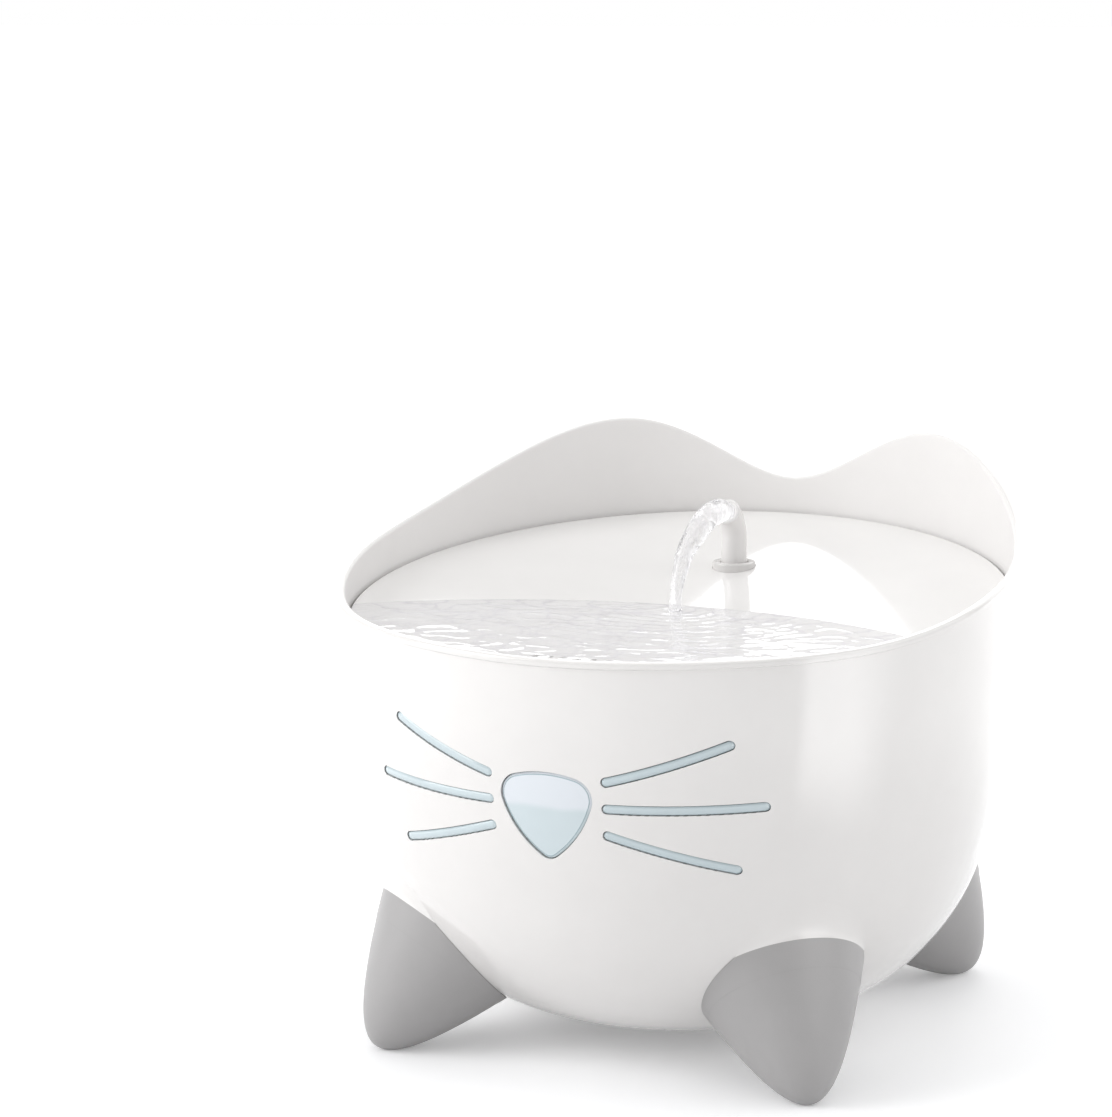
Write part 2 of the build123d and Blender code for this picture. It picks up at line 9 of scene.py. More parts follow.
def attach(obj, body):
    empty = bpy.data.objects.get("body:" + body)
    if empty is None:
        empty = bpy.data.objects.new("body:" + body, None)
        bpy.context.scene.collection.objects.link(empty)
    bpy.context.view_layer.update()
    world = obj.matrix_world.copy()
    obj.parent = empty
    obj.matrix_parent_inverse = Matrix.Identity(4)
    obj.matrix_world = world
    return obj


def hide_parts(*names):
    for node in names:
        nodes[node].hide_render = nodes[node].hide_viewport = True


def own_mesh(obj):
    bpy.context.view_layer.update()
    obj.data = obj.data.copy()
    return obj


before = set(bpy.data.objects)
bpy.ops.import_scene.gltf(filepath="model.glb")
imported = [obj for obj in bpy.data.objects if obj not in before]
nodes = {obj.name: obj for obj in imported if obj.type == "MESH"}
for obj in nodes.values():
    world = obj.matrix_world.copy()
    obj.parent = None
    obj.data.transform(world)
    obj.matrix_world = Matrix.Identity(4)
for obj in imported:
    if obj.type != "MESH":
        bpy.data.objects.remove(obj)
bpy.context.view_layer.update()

mm = 0.001


def deselectAll():
    if bpy.context.object and bpy.context.object.mode != "OBJECT":
        bpy.ops.object.mode_set(mode="OBJECT")
    bpy.ops.object.select_all(action="DESELECT")


def pick(obj):
    deselectAll()
    obj.select_set(True)
    bpy.context.view_layer.objects.active = obj
    return obj


def edit(obj, kind="FACE"):
    pick(obj)
    bpy.ops.object.mode_set(mode="EDIT")
    bpy.ops.mesh.select_mode(type=kind)
    bpy.ops.mesh.select_all(action="DESELECT")


def objectMode():
    bpy.ops.object.mode_set(mode="OBJECT")


def selectEdges(obj, test):
    mesh = bmesh.from_edit_mesh(obj.data)
    for item in mesh.edges:
        item.select_set(bool(test(item)))
    mesh.select_flush_mode()
    bmesh.update_edit_mesh(obj.data)


def faceOutwards(obj):
    edit(obj)
    bpy.ops.mesh.select_all(action="SELECT")
    bpy.ops.mesh.normals_make_consistent(inside=False)
    objectMode()


def newMesh(name, points, edges=(), faces=()):
    mesh = bpy.data.meshes.new(name)
    mesh.from_pydata([tuple(p) for p in points], list(edges), list(faces))
    obj = bpy.data.objects.new(name, mesh)
    bpy.context.scene.collection.objects.link(obj)
    return pick(obj)


def applyModifier(obj, kind, **settings):
    pick(obj)
    modifier = obj.modifiers.new(kind.title(), kind)
    for key, value in settings.items():
        setattr(modifier, key, value)
    bpy.ops.object.modifier_apply(modifier=modifier.name)


def cutWith(obj, tool, operation="DIFFERENCE"):
    applyModifier(obj, "BOOLEAN", operation=operation, solver="EXACT", object=tool)
    bpy.data.objects.remove(tool)


def smooth(obj, angle):
    pick(obj)
    bpy.ops.object.shade_smooth_by_angle(angle=math.radians(angle))


def spinOutline(name, outline, steps):
    # outline: (radius, height) pairs, both ends on the axis
    points = [(r, 0, z) for r, z in outline]
    obj = newMesh(name, points, [(k, k + 1) for k in range(len(points) - 1)])
    bpy.ops.object.mode_set(mode="EDIT")
    bpy.ops.mesh.select_all(action="SELECT")
    bpy.ops.mesh.spin(steps=steps, angle=2 * math.pi, center=(0, 0, 0), axis=(0, 0, 1))
    bpy.ops.mesh.select_all(action="SELECT")
    bpy.ops.mesh.remove_doubles(threshold=1e-6)
    bpy.ops.mesh.dissolve_degenerate(threshold=1e-7)
    bpy.ops.mesh.select_all(action="SELECT")
    bpy.ops.mesh.normals_make_consistent(inside=False)
    objectMode()
    return obj


def copyNode(name, node):
    # a merged copy of a CAD node's mesh, free to be reshaped
    obj = bpy.data.objects.new(name, nodes[node].data.copy())
    bpy.context.scene.collection.objects.link(obj)
    pick(obj)
    bpy.ops.object.mode_set(mode="EDIT")
    bpy.ops.mesh.select_all(action="SELECT")
    bpy.ops.mesh.remove_doubles(threshold=2e-6)
    objectMode()
    if obj.data.has_custom_normals:
        bpy.ops.mesh.customdata_custom_splitnormals_clear()
    return obj


def joinAll(objs):
    pick(objs[0])
    for other in objs[1:]:
        other.select_set(True)
    bpy.ops.object.join()
    return objs[0]


def plainMaterial(name):
    material = bpy.data.materials.new(name)
    material.use_nodes = True
    tree = material.node_tree
    shader = tree.nodes["Principled BSDF"]
    return material, tree, shader


def addNode(tree, kind, vector=None, **sockets):
    node = tree.nodes.new(kind)
    for key, value in sockets.items():
        node.inputs[key.replace("_", " ")].default_value = value
    if vector is not None:
        tree.links.new(vector, node.inputs["Vector"])
    return node


def addMath(tree, operation, *sources):
    # sources are sockets or plain numbers
    node = tree.nodes.new("ShaderNodeMath")
    node.operation = operation
    for socket, source in zip(node.inputs, sources):
        if isinstance(source, bpy.types.NodeSocket):
            tree.links.new(source, socket)
        else:
            socket.default_value = source
    return node.outputs[0]


def mapRange(tree, source, start=(0, 1), end=(0, 1), soft=False):
    node = tree.nodes.new("ShaderNodeMapRange")
    node.interpolation_type = "SMOOTHSTEP" if soft else "LINEAR"
    node.inputs["From Min"].default_value, node.inputs["From Max"].default_value = start
    node.inputs["To Min"].default_value, node.inputs["To Max"].default_value = end
    tree.links.new(source, node.inputs["Value"])
    return node.outputs["Result"]


def addBump(tree, shader, source, strength, distance):
    bump = addNode(tree, "ShaderNodeBump", Strength=strength, Distance=distance)
    tree.links.new(source, bump.inputs["Height"])
    tree.links.new(bump.outputs["Normal"], shader.inputs["Normal"])


def seenRays(tree, rays):
    # 1 for rays from the camera or a reflection
    return addMath(tree, "MAXIMUM", rays.outputs["Is Camera Ray"], rays.outputs["Is Glossy Ray"])


def objectSpace(tree, scale=(1, 1, 1)):
    coords = tree.nodes.new("ShaderNodeTexCoord")
    mapping = tree.nodes.new("ShaderNodeMapping")
    mapping.inputs["Scale"].default_value = scale
    tree.links.new(coords.outputs["Object"], mapping.inputs["Vector"])
    return mapping.outputs["Vector"]


def ramp(tree, source, stops):
    node = tree.nodes.new("ShaderNodeValToRGB")
    while len(node.color_ramp.elements) < len(stops):
        node.color_ramp.elements.new(0.5)
    for element, (place, colour) in zip(node.color_ramp.elements, stops):
        element.position = place
        element.color = (*colour, 1)
    tree.links.new(source, node.inputs["Fac"])
    return node.outputs["Color"]


def shade(colour, factor):
    return tuple(min(1, c * factor) for c in colour)


def mouldedPlastic(name, colour, roughness=0.3, grain=900, depth=0.02, mottle=0.03, coat=0.0,
                   soft=0.0, softRadius=0.002, spread=0.06):
    # moulded plastic: faint cloudiness, uneven gloss and a fine skin texture
    material, tree, shader = plainMaterial(name)
    space = objectSpace(tree)
    cloud = addNode(tree, "ShaderNodeTexNoise", space, Scale=38, Detail=4, Roughness=0.6)
    shades = [(0.3, shade(colour, 1 - mottle)), (0.7, shade(colour, 1 + mottle))]
    tree.links.new(ramp(tree, cloud.outputs["Fac"], shades), shader.inputs["Base Color"])
    handled = addNode(tree, "ShaderNodeTexNoise", space, Scale=95, Detail=6, Roughness=0.7)
    gloss = mapRange(tree, handled.outputs["Fac"], end=(max(0.02, roughness - spread), roughness + spread))
    tree.links.new(gloss, shader.inputs["Roughness"])
    skin = addNode(tree, "ShaderNodeTexNoise", space, Scale=grain, Detail=3, Roughness=0.55)
    addBump(tree, shader, skin.outputs["Fac"], depth, 0.0004)
    shader.inputs["Coat Weight"].default_value = coat
    shader.inputs["Coat Roughness"].default_value = 0.04
    shader.inputs["Subsurface Weight"].default_value = soft
    shader.inputs["Subsurface Scale"].default_value = softRadius
    return material


bowlWhite = mouldedPlastic("bowl_white", (0.83, 0.812, 0.798), 0.10, 700, 0.010, 0.012, coat=0.6, spread=0.02)
# the same white plastic inside the bowl: a duller finish, and a colour painted a little lighter than outside
# as painted light against the shade inside
bowlInsideLit = mouldedPlastic("bowl_inside_lit", (0.86, 0.845, 0.835), 0.38, 700, 0.010, 0.012, spread=0.04)
bowlInsideLit.node_tree.nodes["Principled BSDF"].inputs["Specular IOR Level"].default_value = 0.2
trayWhite = mouldedPlastic("tray_white", (0.85, 0.84, 0.83), 0.08, 600, 0.01, 0.012, coat=0.5, spread=0.02)
spoutWhite = mouldedPlastic("spout_white", (0.80, 0.785, 0.775), 0.14, 800, 0.015, 0.015,
                            coat=0.3, spread=0.03)
bootGrey = mouldedPlastic("boot_grey", (0.40, 0.392, 0.392), 0.42, 1500, 0.05, 0.03)
windowBlue = mouldedPlastic("window_blue", (0.56, 0.655, 0.69), 0.07, 500, 0.01, 0.02, coat=0.6)

ringWhite = mouldedPlastic("ring_white", (0.70, 0.685, 0.675), 0.16, 900, 0.02, 0.02, coat=0.3, spread=0.04)
sealClear = mouldedPlastic("seal_clear", (0.74, 0.76, 0.76), 0.38, 1200, 0.04, 0.03, soft=0.25)
sealBlack = mouldedPlastic("seal_black", (0.018, 0.018, 0.019), 0.5, 1800, 0.12, 0.15)
filterGrey = mouldedPlastic("filter_grey", (0.50, 0.51, 0.52), 0.32, 1100, 0.04, 0.025)
pumpBlack = mouldedPlastic("pump_black", (0.022, 0.023, 0.025), 0.4, 1500, 0.16, 0.15)
impellerBlue = mouldedPlastic("impeller_blue", (0.05, 0.19, 0.47), 0.3, 1200, 0.05, 0.06)
magnetDark = mouldedPlastic("magnet_dark", (0.05, 0.048, 0.046), 0.55, 2600, 0.25, 0.2)
shaftCeramic = mouldedPlastic("shaft_ceramic", (0.82, 0.80, 0.76), 0.12, 2200, 0.01, 0.02,
                              coat=0.4, spread=0.03)
grommetGrey = mouldedPlastic("grommet_grey", (0.26, 0.26, 0.265), 0.6, 1700, 0.1, 0.06)


def bandedMetal(name, colour, metallic, roughness, scale, axis, depth, gap):
    # stacked sheets or wound wire: fine parallel bands, darker in the gaps between them, where dark joints
    # carry painted shade, and painted lighter along their crowns as a painted highlight
    material, tree, shader = plainMaterial(name)
    bands = addNode(tree, "ShaderNodeTexWave", objectSpace(tree), Scale=scale, Distortion=0.15, Detail=1)
    bands.bands_direction = axis
    # gap colour: dark joints with painted shade; crown colour: painted highlight
    shades = [(0.0, shade(colour, gap)), (0.35, colour), (1.0, shade(colour, 1.12))]
    tree.links.new(ramp(tree, bands.outputs["Fac"], shades), shader.inputs["Base Color"])
    addBump(tree, shader, bands.outputs["Fac"], depth, 0.0003)
    shader.inputs["Metallic"].default_value = metallic
    shader.inputs["Roughness"].default_value = roughness
    return material


coreSteel = bandedMetal("core_steel", (0.42, 0.42, 0.43), 0.9, 0.38, 320, "Y", 0.5, 0.35)
coilCopper = bandedMetal("coil_copper", (0.62, 0.27, 0.12), 0.85, 0.3, 480, "X", 0.6, 0.3)


def granules(name):
    # crushed carbon: dull black grains with glinting facets
    material, tree, shader = plainMaterial(name)
    space = objectSpace(tree)
    cells = addNode(tree, "ShaderNodeTexVoronoi", space, Scale=620, Randomness=1)
    edges = addNode(tree, "ShaderNodeTexVoronoi", space, Scale=620, Randomness=1)
    edges.feature = "DISTANCE_TO_EDGE"
    tone = tree.nodes.new("ShaderNodeSeparateColor")
    tree.links.new(cells.outputs["Color"], tone.inputs["Color"])
    tint = ramp(tree, tone.outputs["Red"], [(0.0, (0.012, 0.012, 0.013)), (1.0, (0.05, 0.05, 0.053))])
    tree.links.new(tint, shader.inputs["Base Color"])
    gloss = ramp(tree, tone.outputs["Green"], [(0.0, (0.3, 0.3, 0.3)), (1.0, (0.85, 0.85, 0.85))])
    tree.links.new(gloss, shader.inputs["Roughness"])
    addBump(tree, shader, edges.outputs["Distance"], 0.9, 0.0008)
    return material


def fibreMat(name):
    # non-woven fibre: crossing threads in three directions
    material, tree, shader = plainMaterial(name)
    heights = []
    for scale in ((260, 2400, 900), (2400, 260, 900), (1500, 1500, 400)):
        threads = addNode(tree, "ShaderNodeTexNoise", objectSpace(tree, scale), Scale=1, Detail=3,
                          Roughness=0.6, Distortion=0.4)
        heights.append(threads.outputs["Fac"])
    both = addMath(tree, "MAXIMUM", heights[0], heights[1])
    total = addMath(tree, "MAXIMUM", both, heights[2])
    tint = ramp(tree, total, [(0.4, (0.42, 0.52, 0.60)), (0.75, (0.80, 0.86, 0.90))])
    tree.links.new(tint, shader.inputs["Base Color"])
    addBump(tree, shader, total, 0.8, 0.0006)
    shader.inputs["Roughness"].default_value = 0.95
    shader.inputs["Sheen Weight"].default_value = 0.3
    return material


def circuitBoard(name):
    # green lacquer over faint copper tracks
    material, tree, shader = plainMaterial(name)
    tracks = addNode(tree, "ShaderNodeTexVoronoi", objectSpace(tree), Scale=340, Randomness=0.35)
    tracks.distance = "CHEBYCHEV"
    tint = ramp(tree, tracks.outputs["Distance"], [(0.30, (0.015, 0.13, 0.05)), (0.42, (0.03, 0.22, 0.09)),
                                                   (0.55, (0.015, 0.13, 0.05))])
    tree.links.new(tint, shader.inputs["Base Color"])
    shader.inputs["Roughness"].default_value = 0.3
    shader.inputs["Coat Weight"].default_value = 0.4
    return material


def clearPlastic(name, colour, clear=0.85, roughness=0.08):
    material, tree, shader = plainMaterial(name)
    cloud = addNode(tree, "ShaderNodeTexNoise", objectSpace(tree), Scale=120, Detail=3)
    tint = ramp(tree, cloud.outputs["Fac"], [(0.35, shade(colour, 0.97)), (0.65, colour)])
    tree.links.new(tint, shader.inputs["Base Color"])
    shader.inputs["Transmission Weight"].default_value = clear
    shader.inputs["Roughness"].default_value = roughness
    shader.inputs["IOR"].default_value = 1.49
    return material


slotMaterials = {
    "bowl_white": bowlWhite, "tray_white": trayWhite, "spout_white": spoutWhite, "boot_grey": bootGrey,
    "window_blue": windowBlue, "ring_grey": ringWhite, "seal_clear": sealClear, "seal_black": sealBlack,
    "filter_grey": filterGrey, "filter_fibre": fibreMat("filter_fibre"), "carbon": granules("carbon"),
    "pump_black": pumpBlack, "impeller_blue": impellerBlue, "magnet": magnetDark,
    "shaft_ceramic": shaftCeramic, "core_steel": coreSteel, "coil_copper": coilCopper,
    "led_clear": clearPlastic("led_clear", (0.86, 0.93, 0.97)), "board_green": circuitBoard("board_green"),
    "grommet_grey": grommetGrey,
}


camera = {
    "place": (0.43062, -1.09016, 0.35524),
    "right": (0.91645487, 0.40013088, -0.00239972),
    "up": (-0.06290536, 0.14999514, 0.98668352),
    "back": (0.39516249, -0.90409996, 0.16263415),
    "focal": 3448.39, "frame": (1112, 1117),
}


def makeCamera(spec):
    data = bpy.data.cameras.new("camera")
    obj = bpy.data.objects.new("camera", data)
    bpy.context.scene.collection.objects.link(obj)
    turn = Matrix((spec["right"], spec["up"], spec["back"])).transposed()
    obj.matrix_world = Matrix.Translation(spec["place"]) @ turn.to_4x4()
    data.sensor_width = 36
    data.lens = spec["focal"] * 36 / max(spec["frame"])
    data.clip_start = 0.01
    data.clip_end = 50
    bpy.context.scene.camera = obj


makeCamera(camera)
print("camera placed")

studio = {
    "floorSize": 60, "floorColour": (0.90, 0.905, 0.915),
    # white of the paper near the object and further out
    "floorLift": (0.24, 1.0), "liftReach": (0.15, 0.55),
    "ambient": 0.60,
    "lamps": {
        # place, aim, width, height, power
        "key_left": ((-1.55, -1.1, 1.0), (0, 0, 0.1), 1.3, 1.5, 22),
        "fill_right": ((1.5, 0.4, 1.1), (0, 0, 0.1), 1.2, 1.2, 6.4),
        "top": ((-0.2, 0.3, 2.0), (0, 0, 0.1), 1.2, 1.2, 8),
    },
    "panels": {
        # seen only in reflections
        "paper_behind": ((0.0, 0.75, 0.51), (0, 0, 0.51), 1.6, 1.0, 6.0),
    },
    # upright sheet of light beside the bowl: where it starts, thins towards the rear and fades downwards
    "softbox": {"place": 0.2, "height": 0.3, "rise": (-0.160, -0.135), "fall": (-0.035, -0.10),
                "fade": (0.0, 0.075), "strength": 1.9},
}


def makeSoftbox(spec):
    # seen only in reflections
    near, far = spec["rise"][0], spec["fall"][0]
    ends = ((near, 0), (far, 0), (far, spec["height"]), (near, spec["height"]))
    sheet = newMesh("softbox", [(spec["place"], y, z) for y, z in ends], faces=[(0, 1, 2, 3)])
    material, tree, shader = plainMaterial("softbox_light")
    split = addNode(tree, "ShaderNodeSeparateXYZ", objectSpace(tree))
    strength = spec["strength"]
    for axis, reach in (("Y", spec["rise"]), ("Y", spec["fall"]), ("Z", spec["fade"])):
        share = mapRange(tree, split.outputs[axis], reach, soft=True)
        strength = addMath(tree, "MULTIPLY", strength, share)
    glow = addNode(tree, "ShaderNodeEmission", Color=(1, 1, 1, 1))
    clear = tree.nodes.new("ShaderNodeBsdfTransparent")
    tree.links.new(strength, glow.inputs["Strength"])
    total = tree.nodes.new("ShaderNodeAddShader")
    tree.links.new(glow.outputs["Emission"], total.inputs[0])
    tree.links.new(clear.outputs["BSDF"], total.inputs[1])
    tree.links.new(total.outputs[0], tree.nodes["Material Output"].inputs["Surface"])
    sheet.data.materials.append(material)
    sheet.visible_camera = sheet.visible_diffuse = sheet.visible_transmission = sheet.visible_shadow = False


def makeFloor(spec):
    bpy.ops.mesh.primitive_plane_add(size=spec["floorSize"], location=(0, 0, 0))
    floor = bpy.context.object
    floor.name = "floor"
    material, tree, shader = plainMaterial("floor_paper")
    shader.inputs["Base Color"].default_value = (*spec["floorColour"], 1)
    shader.inputs["Roughness"].default_value = 0.7
    shader.inputs["Specular IOR Level"].default_value = 0.2
    seen = seenRays(tree, tree.nodes.new("ShaderNodeLightPath"))
    coords = tree.nodes.new("ShaderNodeTexCoord")
    reach = tree.nodes.new("ShaderNodeVectorMath")
    reach.operation = "LENGTH"
    tree.links.new(coords.outputs["Object"], reach.inputs[0])
    away = mapRange(tree, reach.outputs["Value"], spec["liftReach"], spec["floorLift"], soft=True)
    lift = addNode(tree, "ShaderNodeEmission", Color=(1, 1, 1, 1))
    tree.links.new(addMath(tree, "MULTIPLY", seen, away), lift.inputs["Strength"])
    both = tree.nodes.new("ShaderNodeAddShader")
    tree.links.new(shader.outputs["BSDF"], both.inputs[0])
    tree.links.new(lift.outputs["Emission"], both.inputs[1])
    tree.links.new(both.outputs[0], tree.nodes["Material Output"].inputs["Surface"])
    floor.data.materials.append(material)


def makeWorld(spec):
    world = bpy.data.worlds.new("studio")
    bpy.context.scene.world = world
    world.use_nodes = True
    tree = world.node_tree
    back = tree.nodes["Background"]
    back.inputs["Color"].default_value = (1, 1, 1, 1)
    rays = tree.nodes.new("ShaderNodeLightPath")
    clear = addMath(tree, "MAXIMUM", seenRays(tree, rays), rays.outputs["Is Transmission Ray"])
    tree.links.new(mapRange(tree, clear, end=(spec["ambient"], 1)), back.inputs["Strength"])


def makeLamps(spec):
    for name, (place, aim, width, height, power) in (spec["lamps"] | spec["panels"]).items():
        light = bpy.data.lights.new(name, "AREA")
        light.shape = "RECTANGLE"
        light.size = width
        light.size_y = height
        light.energy = power
        obj = bpy.data.objects.new(name, light)
        bpy.context.scene.collection.objects.link(obj)
        obj.location = place
        obj.rotation_euler = (Vector(aim) - Vector(place)).to_track_quat("-Z", "Y").to_euler()
        if name in spec["panels"]:
            obj.visible_camera = obj.visible_diffuse = obj.visible_transmission = False


makeFloor(studio)
makeWorld(studio)
makeLamps(studio)
makeSoftbox(studio["softbox"])
bpy.context.scene.view_settings.view_transform = "Standard"
print("studio ready")

bowl = {
    "rimRadius": 0.117, "wall": 0.0025, "underside": 0.007, "floorRadius": 0.0327,
    "bellyHeight": 0.060, "sideTop": 0.140, "rimHeight": 0.162,
    "beadDepth": 0.0026, "beadOverhang": 0.001, "lipRound": 0.0012, "steps": 288,
    "beadUnder": [(0.4, 0.00005), (0.9, 0.0003), (1, 0.0007)],     # share of the overhang and rise
    "plainBand": 0.006,            # under the top, where the rim's rise is the same at all heights
    # rise of the rim at angles from the front, the same on both sides
    "rises": [(0, -14.0), (30, -13.0), (60, -10.0), (85, -1.6), (105, 6.8),
              (125, 21.5), (140, 32.55), (152, 34.4), (165, 24.8), (180, 13.5)],
}
leg = {
    "tips": [(0.0784, -0.0797, 43), (-0.0784, -0.0797, -43), (0.0784, 0.093, 142), (-0.0784, 0.093, -142)],
    "lean": 50.5, "tipHeight": 0.0014, "nose": 0.0071, "flare": 0.11,
    "mouth": 0.0448, "stub": 0.026, "bootWall": 0.005, "spigotWall": 0.006,
    "filletReach": 0.0085, "filletSpread": 0.010, "turns": 120, "filletSteps": 10,
    "pull": 0.62, "sunk": (0.0012, 0.0008), "leastRoom": 0.0002, "search": 0.03, "probe": 1e-4,
    "insideTop": 0.19,
}
trayTilt = math.radians(7)
ribs = {
    "count": 8, "size": (0.004, 0.0052, 0.009), "edge": 0.0005, "sunk": 0.0014,
    "trayHeight": 0.1482, "trayUnder": 0.0025,     # edge on the bowl's axis, thickness and gap under it
}
grommetHole = {"radius": 0.0051, "length": 0.04, "height": 0.141}


def bowlArcs(spec):
    # two arcs tangent to the floor, to each other and to the upright wall
    side = spec["sideTop"] - spec["bellyHeight"]
    belly = spec["bellyHeight"] - spec["underside"]
    spread = spec["rimRadius"] - spec["floorRadius"]
    total = side + belly + spread
    lean = (total - math.sqrt(total ** 2 - 4 * side * (spread - belly))) / (2 * side)
    meet = 2 * math.atan(lean)
    return meet, side / math.sin(meet), belly / (1 - math.sin(meet))


def bowlProfile(spec, inset, rows=26):
    # (radius, height) from the axis to the top of the side curve, inset from the outside
    meet, sideRadius, bellyRadius = bowlArcs(spec)
    points = [(spec["floorRadius"] * k / 6, spec["underside"] + inset) for k in range(6)]
    for k in range(rows + 1):
        angle = math.pi / 2 + (meet - math.pi / 2) * k / rows
        reach = bellyRadius - inset
        points.append((spec["floorRadius"] + reach * math.cos(angle),
                       spec["underside"] + bellyRadius - reach * math.sin(angle)))
    for k in range(1, rows + 1):
        angle = meet * (1 - k / rows)
        reach = sideRadius - inset
        points.append((spec["rimRadius"] - sideRadius + reach * math.cos(angle),
                       spec["sideTop"] - reach * math.sin(angle)))
    return points


def rimCurve(rises):
    # smooth closed curve through the stated rises, as a function of the angle from the front
    angles = [a for a, r in rises] + [360 - a for a, r in reversed(rises[1:-1])]
    heights = np.array([r for a, r in rises] + [r for a, r in reversed(rises[1:-1])]) * mm
    knots = np.radians(np.array(angles + [360.0]))
    gaps = np.diff(knots)
    count = len(heights)
    matrix, right = np.zeros((count, count)), np.zeros(count)
    for k in range(count):
        before, after = gaps[k - 1], gaps[k]
        matrix[k, k - 1] += before
        matrix[k, k] += 2 * (before + after)
        matrix[k, (k + 1) % count] += after
        rising = (heights[(k + 1) % count] - heights[k]) / after
        right[k] = 6 * (rising - (heights[k] - heights[k - 1]) / before)
    bends = np.linalg.solve(matrix, right)

    def rise(angle):
        angle = angle % (2 * math.pi)
        k = min(int(np.searchsorted(knots, angle, side="right")) - 1, count - 1)
        step = gaps[k]
        b = (angle - knots[k]) / step
        a = 1 - b
        bend = (a ** 3 - a) * bends[k] + (b ** 3 - b) * bends[(k + 1) % count]
        return float(a * heights[k] + b * heights[(k + 1) % count] + bend * step ** 2 / 6)

    return rise


rimRise = rimCurve(bowl["rises"])


def frontAngle(x, y):
    return math.atan2(x, -y)


def makeShell(spec):
    outer = spec["rimRadius"]
    inner = outer - spec["wall"]
    lip = outer + spec["beadOverhang"]
    top, bead, curve = spec["rimHeight"], spec["beadDepth"], spec["lipRound"]
    outline = bowlProfile(spec, 0)
    wallRows = [spec["sideTop"] + (top - bead - spec["sideTop"]) * k / 8 for k in range(1, 9)]
    outline += [(outer, z) for z in wallRows]
    for share, rise in spec["beadUnder"]:
        outline.append((outer + share * spec["beadOverhang"], top - bead + rise))
    quarter = [math.radians(15 * k) for k in range(7)]
    outline += [(lip - curve + curve * math.cos(a), top - curve + curve * math.sin(a)) for a in quarter]
    outline += [(inner + curve - curve * math.sin(a), top - curve + curve * math.cos(a)) for a in quarter]
    outline += [(inner, z) for z in reversed([spec["sideTop"]] + wallRows)][:-1]
    outline += reversed(bowlProfile(spec, spec["wall"]))
    shell = spinOutline("bowl_shell", outline, spec["steps"])
    reach = top - spec["plainBand"] - spec["sideTop"]
    for vertex in shell.data.vertices:      # the rim's dips and ears
        over = vertex.co.z - spec["sideTop"]
        if over > 1e-6:
            vertex.co.z += min(1, over / reach) * rimRise(frontAngle(vertex.co.x, vertex.co.y))
    return shell


def legRadius(along, shift):
    reach = max(along - shift, 0)
    return math.sqrt(2 * leg["nose"] * reach + leg["flare"] * reach ** 2)


def legPlace(tip):
    x, y, turn = tip
    lean = Matrix.Rotation(-math.radians(90 - leg["lean"]), 4, "X")
    return Matrix.Translation((x, y, leg["tipHeight"])) @ Matrix.Rotation(math.radians(turn), 4, "Z") @ lean


def curveRows(shift, start, end, rows=22):
    return [(legRadius(t, shift), t) for t in
            (start + (end - start) * (k / rows) ** 1.7 for k in range(rows + 1))]


def makeLegs(name, outline):
    legs = []
    for tip in leg["tips"]:
        cone = spinOutline(name, outline, 96)
        cone.data.transform(legPlace(tip))
        legs.append(cone)
    return joinAll(legs)


windows = {
    "paintedHighlightBand": (0.0995, 0.1022),      # heights where the nose lens turns from pale below to its painted highlight above
    "gap": 0.0003, "cut": (-0.14, -0.05), "search": (-0.13, -0.04), "waver": 0.003,
    "inwards": (0.8, 0.6, 0.4, 0.2, 0),        # shares of the way from the middle of a lens to its edge
    "nose": {
        "shoulder": (0.0167, 0.1070), "top": 0.1109, "tip": 0.0812, "bulge": 0.0025,
        "rounds": (0.007, 0.0038), "middle": (0, 0.098), "crown": 0.0002,
        # offset of the outline, depth under the bowl's surface and whether the next strip is edge, which
        # takes the darker edge colour as painted shade
        "rows": [(0.0026, 0.0053, 1), (0.0026, 0.0033, 1), (0, 0.0033, 1), (0, 0.0009, 0),
                 (-0.0006, 0.00035, 1), (-0.00075, 0.0005, 1), (-0.0009, 0.0003, 0)],
    },
    "whisker": {
        "half": 0.0014, "crown": 0.00018,
        "rows": [(0.001, 0.0035, 1), (0.001, 0.0026, 1), (0, 0.0026, 1), (0, 0.0006, 0),
                 (-0.0004, 0.00026, 0)],
    },
    # inner end, middle and outer end of each right whisker, seen from the front
    "lines": {
        "upper": ((0.0204, 0.1090), (0.0395, 0.1148), (0.0574, 0.1216)),
        "middle": ((0.0203, 0.1001), (0.0435, 0.1002), (0.0663, 0.1010)),
        "lower": ((0.0201, 0.0911), (0.0383, 0.0854), (0.0574, 0.0799)),
    },
}


def circleThrough(a, b, c):
    turn = 2 * (a.x * (b.y - c.y) + b.x * (c.y - a.y) + c.x * (a.y - b.y))
    x = (a.dot(a) * (b.y - c.y) + b.dot(b) * (c.y - a.y) + c.dot(c) * (a.y - b.y)) / turn
    y = (a.dot(a) * (c.x - b.x) + b.dot(b) * (a.x - c.x) + c.dot(c) * (b.x - a.x)) / turn
    centre = Vector((x, y))
    return centre, (a - centre).length


def crossing(c1, r1, c2, r2, near):
    # where two circles cross, the crossing nearest to a point
    span = c2 - c1
    along = (r1 * r1 - r2 * r2 + span.dot(span)) / (2 * span.length)
    off = math.sqrt(max(r1 * r1 - along * along, 0))
    base = c1 + span.normalized() * along
    side = Vector((-span.y, span.x)).normalized() * off
    return min((base + side, base - side), key=lambda p: (p - near).length)


def heading(centre, point):
    return math.atan2(point.y - centre.y, point.x - centre.x)


def unit(angle):
    return Vector((math.cos(angle), math.sin(angle)))


